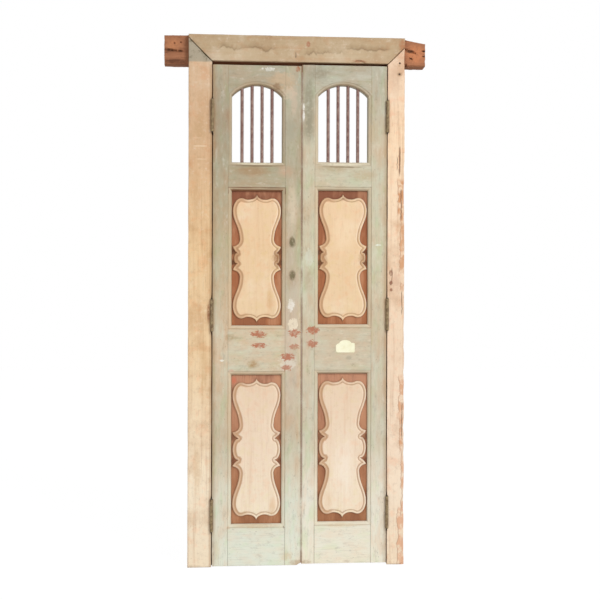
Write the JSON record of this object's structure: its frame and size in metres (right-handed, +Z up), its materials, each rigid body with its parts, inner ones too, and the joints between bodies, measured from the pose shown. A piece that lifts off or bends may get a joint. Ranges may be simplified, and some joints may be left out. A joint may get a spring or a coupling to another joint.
{
  "type": "antique wooden double door with its frame",
  "caption": "Weathered pair of panelled wooden door leaves with arched, barred windows and carved panels, hung on butt hinges in a mitred frame with horns.",
  "frame": {"origin": "on the floor, at the centre of the part's box", "axes": "+X to the right seen from the front, +Y from the front to the back, +Z up"},
  "size_m": [1.054, 0.102, 2.12],
  "materials": {
    "leaf_wood": "worn grey-green paint on wood",
    "frame_wood": "stripped tan wood, bare at the horns",
    "panel_wood": "stripped cream carving on a red-brown ground",
    "peg_wood": "bare dark wood",
    "bar_iron": "brown paint worn over iron",
    "hinge_iron": "painted over, rusty",
    "screw_iron": "rusty"
  },
  "bodies": {
    "frame": {"left_jamb": "frame_wood", "right_jamb": "frame_wood", "head": "frame_wood", "frame_pegs": "peg_wood", "jamb_hinge_screws": "screw_iron", "left_low_jamb_flange": "hinge_iron", "left_low_hinge_pin": "hinge_iron", "left_middle_jamb_flange": "hinge_iron", "left_middle_hinge_pin": "hinge_iron", "left_top_jamb_flange": "hinge_iron", "left_top_hinge_pin": "hinge_iron", "right_low_jamb_flange": "hinge_iron", "right_low_hinge_pin": "hinge_iron", "right_middle_jamb_flange": "hinge_iron", "right_middle_hinge_pin": "hinge_iron", "right_top_jamb_flange": "hinge_iron", "right_top_hinge_pin": "hinge_iron"},
    "left_leaf": {"left_hinge_stile": "leaf_wood", "left_meeting_stile": "leaf_wood", "left_bottom_rail": "leaf_wood", "left_lock_rail": "leaf_wood", "left_frieze_rail": "leaf_wood", "left_top_rail": "leaf_wood", "left_lower_panel": "panel_wood", "left_upper_panel": "panel_wood", "left_bar_1": "bar_iron", "left_bar_2": "bar_iron", "left_bar_3": "bar_iron", "left_bar_4": "bar_iron", "left_low_leaf_flange": "hinge_iron", "left_middle_leaf_flange": "hinge_iron", "left_top_leaf_flange": "hinge_iron", "left_leaf_hinge_screws": "screw_iron"},
    "right_leaf": {"right_hinge_stile": "leaf_wood", "right_meeting_stile": "leaf_wood", "right_bottom_rail": "leaf_wood", "right_lock_rail": "leaf_wood", "right_frieze_rail": "leaf_wood", "right_top_rail": "leaf_wood", "right_lower_panel": "panel_wood", "right_upper_panel": "panel_wood", "right_bar_1": "bar_iron", "right_bar_2": "bar_iron", "right_bar_3": "bar_iron", "right_bar_4": "bar_iron", "right_low_leaf_flange": "hinge_iron", "right_middle_leaf_flange": "hinge_iron", "right_top_leaf_flange": "hinge_iron", "right_leaf_hinge_screws": "screw_iron"}
  },
  "joints": [
    {"name": "left_leaf_swing", "type": "hinge", "parent": "frame", "child": "left_leaf", "pos_m": [-0.3345, -0.045, 0], "axis": [0, 0, -1], "range_deg": [0, 170]},
    {"name": "right_leaf_swing", "type": "hinge", "parent": "frame", "child": "right_leaf", "pos_m": [0.3685, -0.045, 0], "axis": [0, 0, 1], "range_deg": [0, 170]}
  ]
}
